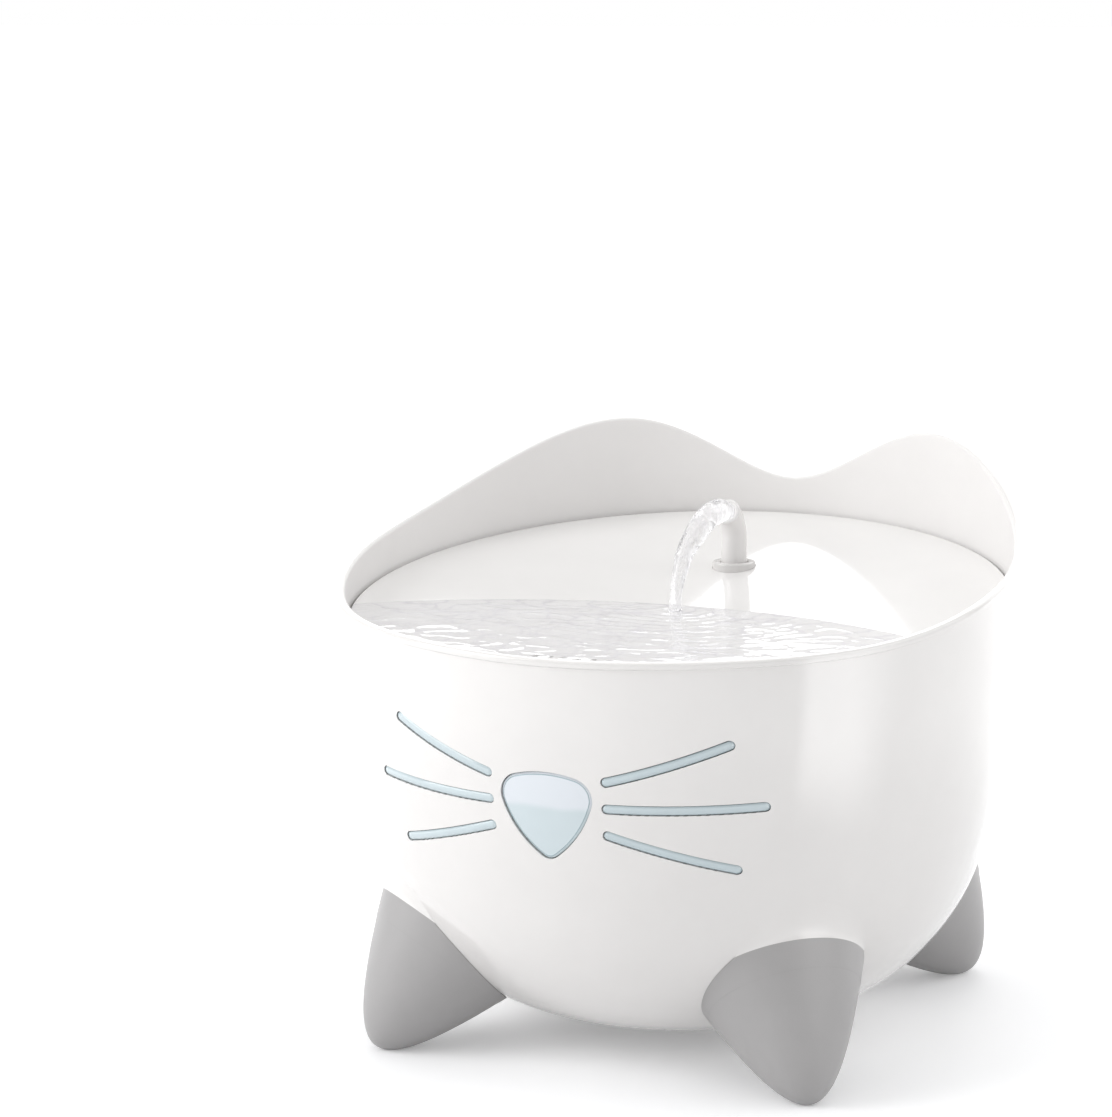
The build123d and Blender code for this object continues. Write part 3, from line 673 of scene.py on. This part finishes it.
def noseOutline(spec):
    # (middle, edge point, outward direction) round the window, seen from the front
    cx, cz = spec["shoulder"]
    corner, mirrored, tip = Vector((cx, cz)), Vector((-cx, cz)), Vector((0, spec["tip"]))
    topCentre, topRadius = circleThrough(mirrored, Vector((0, spec["top"])), corner)
    belly = Vector((cx / 2 + spec["bulge"], (cz + spec["tip"]) / 2 - spec["bulge"]))
    right, sideRadius = circleThrough(corner, belly, tip)
    left = Vector((-right.x, right.y))
    big, small = spec["rounds"]
    roundRight = crossing(topCentre, topRadius - big, right, sideRadius - big, corner)
    roundLeft = Vector((-roundRight.x, roundRight.y))
    roundTip = crossing(left, sideRadius - small, right, sideRadius - small, tip)
    turns = [heading(topCentre, roundRight), heading(topCentre, roundLeft), heading(left, roundLeft),
             heading(left, roundTip), heading(right, roundTip), heading(right, roundRight)]
    arcs = [(topCentre, topRadius, 26), (roundLeft, big, 12), (left, sideRadius, 26), (roundTip, small, 10),
            (right, sideRadius, 26), (roundRight, big, 12)]
    outline = []
    for k, (centre, radius, steps) in enumerate(arcs):
        start = turns[k]
        sweep = (turns[(k + 1) % 6] - start) % (2 * math.pi)
        for step in range(steps):
            out = unit(start + sweep * step / steps)
            outline.append((Vector(spec["middle"]), centre + out * radius, out))
    return outline


def whiskerOutline(spec, line, side, steps=36, cap=10):
    a, b, c = (Vector((side * x, z)) for x, z in line)
    centre, radius = circleThrough(a, b, c)
    start = heading(centre, a)
    sweep = (heading(centre, c) - start + math.pi) % (2 * math.pi) - math.pi
    turn = math.copysign(1, sweep)
    places = [(start + sweep * k / steps, 0.0) for k in range(steps)]
    places += [(start + sweep, turn * math.pi * k / cap) for k in range(cap)]
    places += [(start + sweep * (1 - k / steps), turn * math.pi) for k in range(steps)]
    places += [(start, turn * (math.pi + math.pi * k / cap)) for k in range(cap)]
    outline = []
    for angle, spin in places:
        core, out = centre + unit(angle) * radius, unit(angle + spin)
        outline.append((core, core + out * spec["half"], out))
    return outline


windowOutlines = {"nose_window": noseOutline(windows["nose"])}
for level, line in windows["lines"].items():
    windowOutlines["whisker_" + level + "_right"] = whiskerOutline(windows["whisker"], line, 1)
    windowOutlines["whisker_" + level + "_left"] = whiskerOutline(windows["whisker"], line, -1)


def windowHole(outline, grow):
    # a bar along the front view that goes through the front wall only
    ring = [edge + out * grow for core, edge, out in outline]
    count = len(ring)
    points = [(p.x, y, p.y) for y in windows["cut"] for p in ring]
    faces = [(k, (k + 1) % count, count + (k + 1) % count, count + k) for k in range(count)]
    faces += [tuple(reversed(range(count))), tuple(range(count, 2 * count))]
    tool = newMesh("window_hole", points, faces=faces)
    faceOutwards(tool)
    return tool


def makeRibs(spec):
    # small blocks inside the wall that carry the tray
    blocks = []
    inner = bowl["rimRadius"] - bowl["wall"]
    middle = spec["trayHeight"] - spec["trayUnder"] - spec["size"][2] / 2
    for k in range(spec["count"]):
        turn = math.radians((k + 0.5) * 360 / spec["count"])
        bpy.ops.mesh.primitive_cube_add(size=1)
        block = pick(bpy.context.object)
        block.scale = spec["size"]
        bpy.ops.object.transform_apply(scale=True)
        applyModifier(block, "BEVEL", width=spec["edge"], segments=2)
        out = Matrix.Translation((0, -inner + spec["sunk"], 0))
        block.data.transform(Matrix.Rotation(turn, 4, "Z") @ out)
        for vertex in block.data.vertices:
            vertex.co.z += middle + math.tan(trayTilt) * vertex.co.y
        blocks.append(block)
    return joinAll(blocks)


def makeReservoir():
    shell = makeShell(bowl)
    mouth, stub = leg["mouth"], leg["mouth"] + leg["stub"]
    thin = leg["bootWall"] + leg["spigotWall"]
    outline = curveRows(leg["bootWall"], leg["bootWall"], mouth) + curveRows(0, mouth, stub, 12) + [(0, stub)]
    roots = makeLegs("leg_roots", outline)
    inside = bowlProfile(bowl, bowl["wall"] / 2)
    inside += [(inside[-1][0], leg["insideTop"]), (0, leg["insideTop"])]
    cutWith(roots, spinOutline("inside", inside, 192))
    cutWith(shell, roots, "UNION")
    tools = [makeLegs("leg_hollows", curveRows(thin, thin, stub) + [(0, stub)])]
    tools += [windowHole(outline, windows["gap"]) for outline in windowOutlines.values()]
    bpy.ops.mesh.primitive_cylinder_add(
        vertices=64, radius=grommetHole["radius"], depth=grommetHole["length"],
        location=(0, bowl["rimRadius"], grommetHole["height"]), rotation=(math.pi / 2, 0, 0))
    hole = pick(bpy.context.object)
    bpy.ops.object.transform_apply()
    cutWith(shell, joinAll(tools + [hole]))
    shell = joinAll([shell, makeRibs(ribs)])
    shell.name = "reservoir_shell"
    smooth(shell, 32)
    return shell


def outsideBowl(point):
    # height of a point over the bowl's outer surface, negative inside
    meet, sideRadius, bellyRadius = bowlArcs(bowl)
    reach = math.hypot(point.x, point.y)
    if reach < bowl["floorRadius"]:
        return bowl["underside"] - point.z
    over = reach - bowl["floorRadius"]
    under = bowl["underside"] + bellyRadius - point.z
    if math.atan2(under, over) > meet:
        return math.hypot(over, under) - bellyRadius
    if point.z < bowl["sideTop"]:
        return math.hypot(reach - bowl["rimRadius"] + sideRadius, bowl["sideTop"] - point.z) - sideRadius
    return reach - bowl["rimRadius"]


def bisect(low, high, test):
    # the place between low and high up to which the test holds
    for step in range(40):
        middle = (low + high) / 2
        if test(middle):
            low = middle
        else:
            high = middle
    return (low + high) / 2


def bezier(first, a, b, last, t):
    return (1 - t) ** 3 * first + 3 * (1 - t) ** 2 * t * a + 3 * (1 - t) * t * t * b + t ** 3 * last


def makeFillet(tip):
    # sections of the soft corner between a leg's root and the bowl, none where it has no room
    place = legPlace(tip)
    start, end, probe = leg["mouth"], leg["mouth"] + leg["stub"], leg["probe"]

    def at(along, radius, turn):
        return place @ Vector((radius * math.cos(turn), radius * math.sin(turn), along))

    def onLeg(along, turn):
        return at(along, legRadius(along, 0), turn)

    def onBowl(radius, turn, guess):
        low, high = guess - leg["search"], guess + leg["search"]
        along = bisect(low, high, lambda t: outsideBowl(at(t, radius, turn)) > 0)
        return at(along, radius, turn)

    sections = []
    for k in range(leg["turns"]):
        turn = 2 * math.pi * k / leg["turns"]
        corner = start
        if outsideBowl(onLeg(start, turn)) > 0:
            corner = bisect(start, end, lambda t: outsideBowl(onLeg(t, turn)) > 0)
        room = corner - start
        if room < leg["leastRoom"]:
            sections.append(None)
            continue
        reach = min(leg["filletReach"], room)
        spread = leg["filletSpread"] * (reach / leg["filletReach"]) ** 0.75
        radius = legRadius(corner, 0)
        first = onLeg(corner - reach, turn)
        lead = (onLeg(corner - reach + probe, turn) - first).normalized()
        last = onBowl(radius + spread, turn, corner)
        tail = (last - onBowl(radius + spread - probe, turn, corner)).normalized()
        a, b = first + lead * reach * leg["pull"], last - tail * spread * leg["pull"]
        steps = leg["filletSteps"]
        chain = [bezier(first, a, b, last, step / steps) for step in range(steps + 1)]
        sections.append(chain + [at(corner + leg["sunk"][0], radius - leg["sunk"][1], turn)])
    return sections


def makeFillets():
    # one closed sliver round each leg
    pieces = []
    for tip in leg["tips"]:
        sections = makeFillet(tip)
        count = len(sections)
        gaps = [k for k in range(count) if sections[k] is None and sections[(k + 1) % count] is not None]
        run = sections if not gaps else []
        for k in range(1, count if gaps else 0):
            section = sections[(gaps[0] + k) % count]
            if section is None:
                break
            run.append(section)
        size = len(run[0])
        points = [p for section in run for p in section]
        faces = []
        for row in range(len(run) - (1 if gaps else 0)):
            after = (row + 1) % len(run)
            for k in range(size):
                turn = (k + 1) % size
                faces.append((row * size + k, row * size + turn, after * size + turn, after * size + k))
        if gaps:
            faces.append(tuple(range(size)))
            faces.append(tuple(reversed(range(len(points) - size, len(points)))))
        piece = newMesh("leg_fillet", points, faces=faces)
        faceOutwards(piece)
        pieces.append(piece)
    fillets = joinAll(pieces)
    fillets.name = "leg_fillets"
    smooth(fillets, 50)
    return fillets


reservoir = makeReservoir()
reservoir.data.materials.clear()
reservoir.data.materials.append(bowlWhite)
reservoir.data.materials.append(bowlInsideLit)
# faces inside the wall take the lighter inside copy: painted light
insideFaces = [outsideBowl(face.center) < -bowl["wall"] / 2 for face in reservoir.data.polygons]
reservoir.data.polygons.foreach_set("material_index", [int(inside) for inside in insideFaces])
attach(reservoir, "bowl")
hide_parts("reservoir")
fillets = makeFillets()
fillets.data.materials.append(bowlWhite)
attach(fillets, "bowl")
print("bowl modelled", len(reservoir.data.polygons), "faces")


def lensMaterial(name, low, high, paintedHighlightBand):
    # clear pale blue plastic, its upper part painted brighter as a painted highlight
    material = mouldedPlastic(name, low, 0.06, 500, 0.008, 0.015, coat=0.7, spread=0.02)
    tree = material.node_tree
    shader = tree.nodes["Principled BSDF"]
    tint = shader.inputs["Base Color"].links[0].from_socket
    place = objectSpace(tree)
    split = addNode(tree, "ShaderNodeSeparateXYZ", place)
    wave = addNode(tree, "ShaderNodeTexNoise", place, Scale=60, Detail=1)
    height = addMath(tree, "MULTIPLY_ADD", wave.outputs["Fac"], windows["waver"], split.outputs["Z"])
    # the brighter colour above the band is a painted highlight, its edge wavering with the noise
    mix = tree.nodes.new("ShaderNodeMix")
    mix.data_type = "RGBA"
    tree.links.new(mapRange(tree, height, paintedHighlightBand, soft=True), mix.inputs["Factor"])
    colours = [socket for socket in mix.inputs if socket.type == "RGBA"]
    tree.links.new(tint, colours[0])
    colours[1].default_value = (*high, 1)
    mixed = [socket for socket in mix.outputs if socket.type == "RGBA"][0]
    tree.links.new(mixed, shader.inputs["Base Color"])
    return material


# the second colour is the painted highlight on the lens's upper part
lensBlue = lensMaterial("lens_blue", (0.62, 0.71, 0.745), (0.75, 0.795, 0.845), windows["paintedHighlightBand"])
# darker blue-grey for the lens's back, flange, sides and chamfer: painted shade of the gap round the lens
lensEdgeShade = mouldedPlastic("lens_edge_shade", (0.47, 0.58, 0.62), 0.10, 500, 0.01, 0.03, coat=0.5)


def underSkin(place, depth):
    # a point of the front view, at a depth under the bowl's surface
    y = bisect(*windows["search"], lambda y: outsideBowl(Vector((place.x, y, place.y))) > -depth)
    return (place.x, y, place.y)


def makeWindow(node, outline, spec, face):
    # a bonded lens: flange behind the wall, edge with a narrow chamfer, slightly crowned face
    back, front = spec["rows"][0], spec["rows"][-1]
    loops = [(back[0], share, back[1], 1) for share in (0, 0.5)]
    loops += [(grow, 1, depth, strip) for grow, depth, strip in spec["rows"]]
    for share in windows["inwards"]:
        loops.append((front[0], share, front[1] - spec["crown"] * (1 - share ** 2), 0))
    count = len(outline)
    points, faces, strips = [], [], []
    for row, (grow, share, depth, strip) in enumerate(loops):
        for core, edge, out in outline:
            points.append(underSkin(core + (edge + out * grow - core) * share, depth))
        if row < len(loops) - 1:
            here, after = row * count, (row + 1) * count
            for k in range(count):
                turn = (k + 1) % count
                faces.append((here + k, here + turn, after + turn, after + k))
            strips += [strip] * count
    lens = newMesh(node + "_lens", points, faces=faces)
    lens.data.materials.append(face)
    # the edge strips take the darker edge material: painted shade
    lens.data.materials.append(lensEdgeShade)
    lens.data.polygons.foreach_set("material_index", strips)
    edit(lens)
    bpy.ops.mesh.select_all(action="SELECT")
    bpy.ops.mesh.remove_doubles(threshold=2e-6)
    bpy.ops.mesh.dissolve_degenerate(threshold=1e-6)
    bpy.ops.mesh.select_all(action="SELECT")
    bpy.ops.mesh.normals_make_consistent(inside=False)
    objectMode()
    smooth(lens, 30)
    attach(lens, "bowl")
    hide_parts(node)


for node, outline in windowOutlines.items():
    if node == "nose_window":
        makeWindow(node, outline, windows["nose"], lensBlue)
    else:
        makeWindow(node, outline, windows["whisker"], windowBlue)
print("face windows modelled")

spout = {"lip": 0.0006, "above": 0.160, "sharp": 1.0}


def makeSpout():
    tube = copyNode("spout_tube", "spout")
    edit(tube, "EDGE")
    selectEdges(tube, lambda e: len(e.link_faces) == 2 and e.calc_face_angle(0) > spout["sharp"]
                and all(v.co.z > spout["above"] for v in e.verts))
    bpy.ops.mesh.bevel(offset=spout["lip"], segments=4, profile=0.5, affect="EDGES")
    objectMode()
    smooth(tube, 40)
    tube.data.materials.clear()
    tube.data.materials.append(spoutWhite)
    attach(tube, "spout")
    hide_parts("spout")


makeSpout()
print("spout modelled")

water = {
    "level": 0.1442, "wallReach": 0.1130, "dishRadius": 1.2885, "dishCentre": (0, -0.1564, 1.4221),
    "columns": 230, "rows": 190, "landing": (0.0, -0.002),
    "rings": (0.00014, 0.0060, 0.035),       # height, length and fade of the rings round the stream
    "grain": (52, 70, 1.7), "chop": 0.00013,     # pattern of the surface and its height
    "wander": (0.005, 0.8), "fine": (0.6, 2.1), "crests": (1.2, 1.7, 9),
    "calm": (0.0012, 0.003, 0.1),            # shallow water, reach from the shore and least ripple there
    "inset": 0.9995, "sheet": 0.02, "lining": 0.00012, "thinnest": 0.00002,
    "ruffle": 0.0005, "streamGrain": (300, 95, 60), "streamFine": (0.4, 2.3),
    "stream": [((0, 0.0505, 0.1705), 0.0026), ((0, 0.0440, 0.1732), 0.0040), ((0, 0.0330, 0.1738), 0.0045),
               ((0, 0.0200, 0.1702), 0.0042), ((0, 0.0090, 0.1650), 0.0034), ((0, 0.0020, 0.1580), 0.0027),
               ((0, -0.0015, 0.1500), 0.0019), ((0, -0.0020, 0.1437), 0.0024)],
}


def mixShaders(tree, share, first, second):
    mix = tree.nodes.new("ShaderNodeMixShader")
    for source, socket in zip((share, first, second), mix.inputs):
        tree.links.new(source, socket)
    return mix.outputs["Shader"]


def waterMaterial(name, lines, bend=1.333, foam=0.0):
    # clear water; its shadow is left light because light passes through it
    material, tree, shader = plainMaterial(name)
    shader.inputs["Roughness"].default_value = 0.02
    shader.inputs["IOR"].default_value = bend
    shader.inputs["Transmission Weight"].default_value = 1
    space = objectSpace(tree)
    warp = addNode(tree, "ShaderNodeTexNoise", space, Scale=55, Detail=2)
    shift = tree.nodes.new("ShaderNodeVectorMath")
    shift.operation = "MULTIPLY_ADD"
    shift.inputs[1].default_value = (0.022, 0.022, 0.022)
    tree.links.new(warp.outputs["Color"], shift.inputs[0])
    tree.links.new(space, shift.inputs[2])
    # thin grey-violet lines painted into the water's colour: painted reflections of the ripples
    paintedRippleLines = addNode(tree, "ShaderNodeTexVoronoi", shift.outputs["Vector"], Scale=62)
    paintedRippleLines.feature = "DISTANCE_TO_EDGE"
    tint = ramp(tree, paintedRippleLines.outputs["Distance"], [(0.0, lines), (0.06, (0.985, 0.985, 0.99)), (1.0, (1, 1, 1))])
    tree.links.new(tint, shader.inputs["Base Color"])
    passing = tree.nodes.new("ShaderNodeBsdfTransparent")
    passing.inputs["Color"].default_value = (0.98, 0.98, 0.985, 1)
    rays = tree.nodes.new("ShaderNodeLightPath")
    either = addMath(tree, "MAXIMUM", rays.outputs["Is Shadow Ray"], rays.outputs["Is Diffuse Ray"])
    body = shader.outputs["BSDF"]
    if foam:
        # fine bubbles drawn out along the flow
        streaks = addNode(tree, "ShaderNodeTexNoise", objectSpace(tree, (420, 160, 90)), Scale=1, Detail=3,
                          Roughness=0.6)
        white = addNode(tree, "ShaderNodeBsdfTranslucent", Color=(0.95, 0.95, 0.96, 1))
        amount = mapRange(tree, streaks.outputs["Fac"], (0.35, 0.65), (0, foam))
        body = mixShaders(tree, amount, body, white.outputs["BSDF"])
    mixed = mixShaders(tree, either, body, passing.outputs["BSDF"])
    tree.links.new(mixed, tree.nodes["Material Output"].inputs["Surface"])
    return material


# the colour given first is that of the painted ripple reflection lines
poolWater = waterMaterial("pool_water", (0.86, 0.85, 0.89))
streamWater = waterMaterial("stream_water", (0.88, 0.88, 0.92), bend=1.2, foam=0.7)


def dishHeight(x, y):
    cx, cy, cz = water["dishCentre"]
    return cz - math.sqrt(water["dishRadius"] ** 2 - (x - cx) ** 2 - (y - cy) ** 2)


def makePool():
    # water lying in the low front of the tray, its surface rippled by the stream
    level = water["level"]
    depth = water["dishCentre"][2] - level
    shore = math.sqrt(water["dishRadius"] ** 2 - depth ** 2)
    front, back = -water["wallReach"], water["dishCentre"][1] + shore
    bpy.ops.mesh.primitive_grid_add(x_subdivisions=water["columns"], y_subdivisions=water["rows"], size=2)
    pool = pick(bpy.context.object)
    pool.name = "tray_water"
    height, length, fade = water["rings"]
    lx, ly = water["landing"]
    wide, deep, layer = water["grain"]
    wander, wanderScale = water["wander"]
    fine, fineScale = water["fine"]
    crest, crestScale, crestPower = water["crests"]
    shallow, shoreReach, least = water["calm"]
    for vertex in pool.data.vertices:
        u, v = vertex.co.x, math.sin(vertex.co.y * math.pi / 2)
        y = (front + back) / 2 + (back - front) / 2 * v * water["inset"]
        half = min(math.sqrt(max(water["wallReach"] ** 2 - y * y, 0)),
                   math.sqrt(max(shore ** 2 - (y - water["dishCentre"][1]) ** 2, 0)))
        x = u * half
        spot = Vector((x * wide, y * deep, layer))
        away = math.hypot(x - lx, y - ly) + wander * noise.noise(spot * wanderScale)
        rings = height * math.sin(2 * math.pi * away / length) * math.exp(-away / fade)
        chop = noise.noise(spot) + fine * noise.noise(spot * fineScale)
        chop += crest * (1 - abs(noise.noise(spot * crestScale))) ** crestPower
        calm = min(1, (level - dishHeight(x, y)) / shallow) * min(1, (1 - abs(u)) * half / shoreReach + least)
        vertex.co = (x, y, level + (rings + water["chop"] * chop) * calm)
    edit(pool)
    bpy.ops.mesh.select_all(action="SELECT")
    bpy.ops.mesh.extrude_region_move(TRANSFORM_OT_translate={"value": (0, 0, -water["sheet"])})
    objectMode()
    for vertex in pool.data.vertices:
        if vertex.co.z < level - water["sheet"] / 2:
            lining = dishHeight(vertex.co.x, vertex.co.y) + water["lining"]
            vertex.co.z = min(lining, level - water["thinnest"])
    faceOutwards(pool)
    smooth(pool, 60)
    pool.data.materials.append(poolWater)
    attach(pool, "tray")


def makeStream():
    # the water that leaves the spout and falls into the dish
    curve = bpy.data.curves.new("stream", "CURVE")
    curve.dimensions = "3D"
    curve.resolution_u = 14
    curve.bevel_depth = 1
    curve.bevel_resolution = 8
    curve.use_fill_caps = True
    line = curve.splines.new("NURBS")
    line.points.add(len(water["stream"]) - 1)
    for point, (place, radius) in zip(line.points, water["stream"]):
        point.co = (*place, 1)
        point.radius = radius
    line.order_u = 4
    line.use_endpoint_u = True
    obj = bpy.data.objects.new("water_stream", curve)
    bpy.context.scene.collection.objects.link(obj)
    pick(obj)
    bpy.ops.object.convert(target="MESH")
    stream = bpy.context.object
    edit(stream)
    bpy.ops.mesh.select_all(action="SELECT")
    bpy.ops.mesh.remove_doubles(threshold=1e-6)
    bpy.ops.mesh.subdivide(number_cuts=1)
    bpy.ops.mesh.normals_make_consistent(inside=False)
    objectMode()
    fine, fineScale = water["streamFine"]
    normals = [v.normal.copy() for v in stream.data.vertices]
    for vertex, normal in zip(stream.data.vertices, normals):
        spot = Vector([place * scale for place, scale in zip(vertex.co, water["streamGrain"])])
        vertex.co += normal * water["ruffle"] * (noise.noise(spot) + fine * noise.noise(spot * fineScale))
    smooth(stream, 60)
    stream.data.materials.clear()
    stream.data.materials.append(streamWater)
    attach(stream, "tray")
    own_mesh(stream)


makePool()
makeStream()
print("water modelled")

filterBeds = {
    "filter_pad": {"slot": "filter_fibre", "edge": 0.0016, "lump": 0.0005, "size": 210,
                   "rings": 26, "steps": 150},
    "carbon_bed": {"slot": "carbon", "edge": 0.0008, "lump": 0.0011, "size": 430,
                   "rings": 52, "steps": 300},
}
lumps = {
    "rim": (0, 0.52, 1.05, 1.5708),        # turns along the rounded rim
    "sharp": 2.2, "gaps": 0.55, "waves": 0.45, "waveScale": 0.3,
}


def makeFilterBed(node, spec):
    # loose filter stuff in the round space of its cup: rim rounded, faces uneven, never past the space
    corners = np.array([tuple(c) for c in nodes[node].bound_box])
    low, high = corners.min(axis=0), corners.max(axis=0)
    radius, edge = (high[0] - low[0]) / 2, spec["edge"]
    flat = radius - edge
    outline = [(flat * k / spec["rings"], low[2]) for k in range(spec["rings"] + 1)]
    rim = lumps["rim"]
    outline += [(flat + edge * math.sin(a), low[2] + edge - edge * math.cos(a)) for a in rim[1:]]
    outline += [(flat + edge * math.cos(a), high[2] - edge + edge * math.sin(a)) for a in rim[:-1]]
    outline += [(flat * (1 - k / spec["rings"]), high[2]) for k in range(spec["rings"] + 1)]
    bed = spinOutline(node + "_fill", outline, spec["steps"])
    bed.data.transform(Matrix.Translation(((low[0] + high[0]) / 2, (low[1] + high[1]) / 2, 0)))
    normals = [v.normal.copy() for v in bed.data.vertices]
    for vertex, normal in zip(bed.data.vertices, normals):
        near, after = noise.voronoi(vertex.co * spec["size"])[0][:2]
        gap = 1 - min(1, (after - near) * lumps["sharp"])
        wave = 0.5 + 0.5 * noise.noise(vertex.co * spec["size"] * lumps["waveScale"])
        vertex.co -= normal * spec["lump"] * (lumps["gaps"] * gap + lumps["waves"] * wave)
    smooth(bed, 75)
    bed.data.materials.append(slotMaterials[spec["slot"]])
    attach(bed, "filter")
    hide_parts(node)
    return bed


for node, spec in filterBeds.items():
    bed = makeFilterBed(node, spec)
print("filter beds modelled")

for node in nodes.values():
    slotName = node.material_slots[0].material.name
    for key, material in slotMaterials.items():
        if slotName.startswith(key):
            node.material_slots[0].material = material
print("carried nodes finished")
